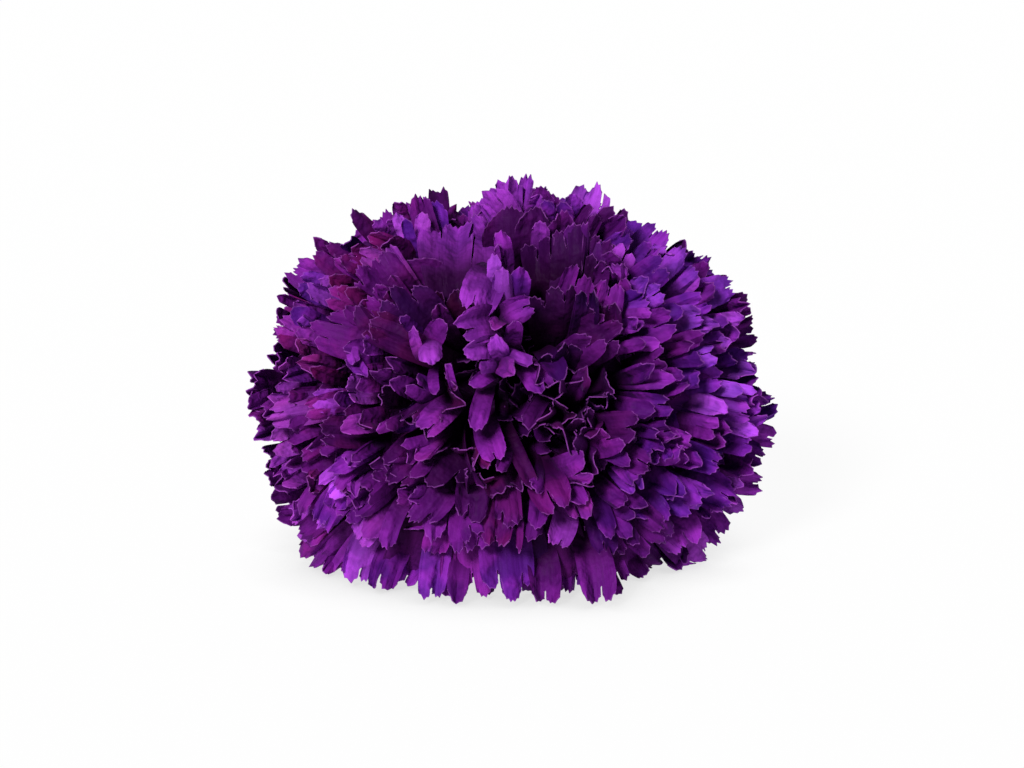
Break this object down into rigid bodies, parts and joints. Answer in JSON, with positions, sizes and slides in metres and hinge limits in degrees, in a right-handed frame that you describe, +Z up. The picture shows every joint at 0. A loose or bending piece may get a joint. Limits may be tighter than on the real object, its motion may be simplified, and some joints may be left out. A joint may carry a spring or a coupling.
{
  "type": "cut carnation bloom",
  "caption": "Very double purple carnation bloom lying on its lower petals, face to the front: layered fan petals with toothed edges, green calyx and a short cut stem behind.",
  "frame": {"origin": "on the surface the bloom lies on, under the middle of the whole part's box", "axes": "+Z up, +Y from the bloom's face back along the stem, +X to the right seen from the face"},
  "size_m": [0.0984, 0.1125, 0.071],
  "materials": {
    "petals": "matte velvet",
    "calyx": "waxy satin",
    "bracts": "waxy satin",
    "stem": "waxy satin"
  },
  "bodies": {
    "root": {"bloom": "petals", "calyx": "calyx", "epicalyx": "bracts", "stem": "stem"}
  },
  "joints": []
}
